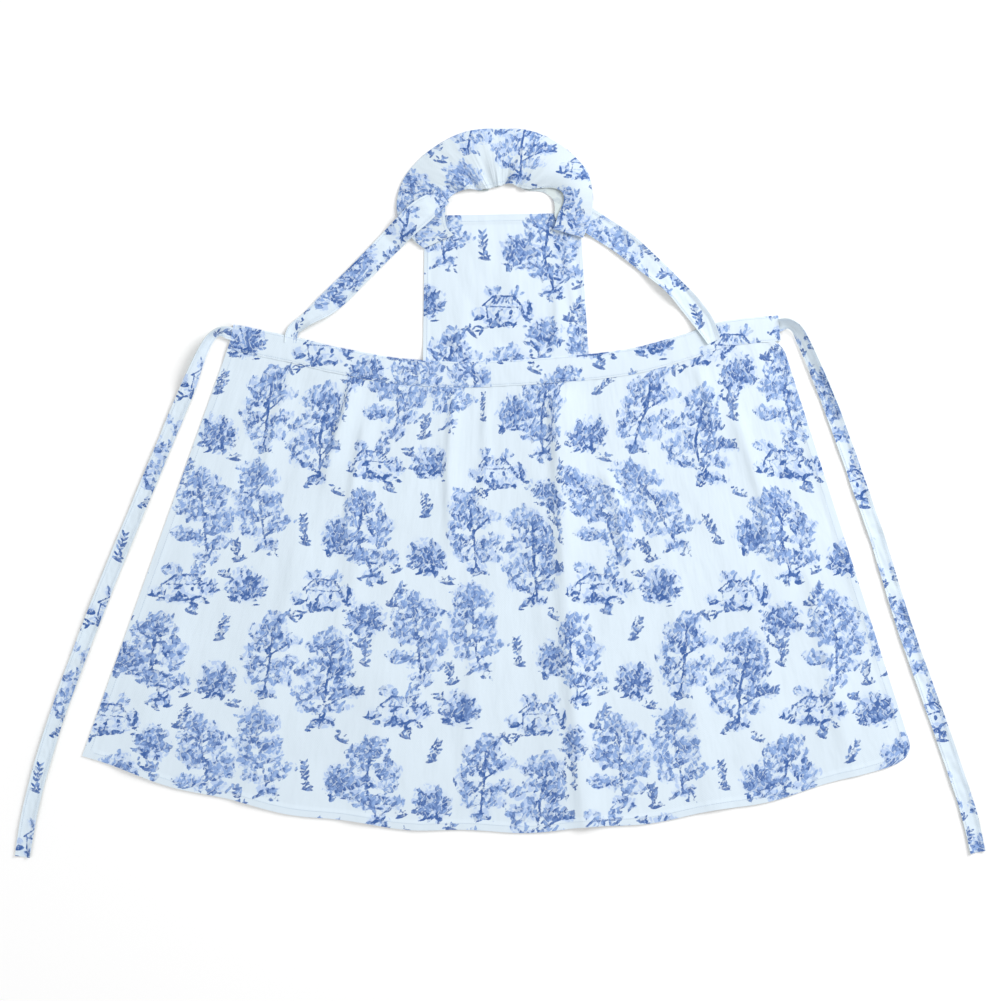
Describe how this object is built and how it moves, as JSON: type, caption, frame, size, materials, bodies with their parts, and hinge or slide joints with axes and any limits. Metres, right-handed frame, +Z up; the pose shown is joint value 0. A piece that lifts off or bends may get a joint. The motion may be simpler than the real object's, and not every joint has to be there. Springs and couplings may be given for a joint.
{
  "type": "bib apron",
  "caption": "Full bib apron of printed cotton laid flat, with a gathered neck band, shoulder straps, a fan-shaped skirt and long waist ties.",
  "frame": {"origin": "on the floor below the middle of the apron as it lies", "axes": "+X to the right across the apron, +Y from the hem towards the neck band, +Z up from the floor"},
  "size_m": [1.3574, 1.0212, 0.016],
  "materials": {
    "skirt_cotton": "printed plain-weave cotton, off-white with blue figures, matt",
    "band_cotton": "printed plain-weave cotton, off-white with blue figures, matt",
    "bib_cotton": "printed plain-weave cotton, off-white with blue figures, matt",
    "neck_cotton": "printed plain-weave cotton, off-white with blue figures, matt",
    "strap_cotton": "printed plain-weave cotton, off-white with blue figures, matt",
    "tie_cotton": "printed plain-weave cotton, off-white with blue figures, matt"
  },
  "bodies": {
    "root": {"skirt": "skirt_cotton", "waistband": "band_cotton", "bib": "bib_cotton", "neck_band": "neck_cotton", "shoulder_strap_left": "strap_cotton", "shoulder_strap_right": "strap_cotton", "waist_tie_left": "tie_cotton", "waist_tie_right": "tie_cotton"}
  },
  "joints": []
}
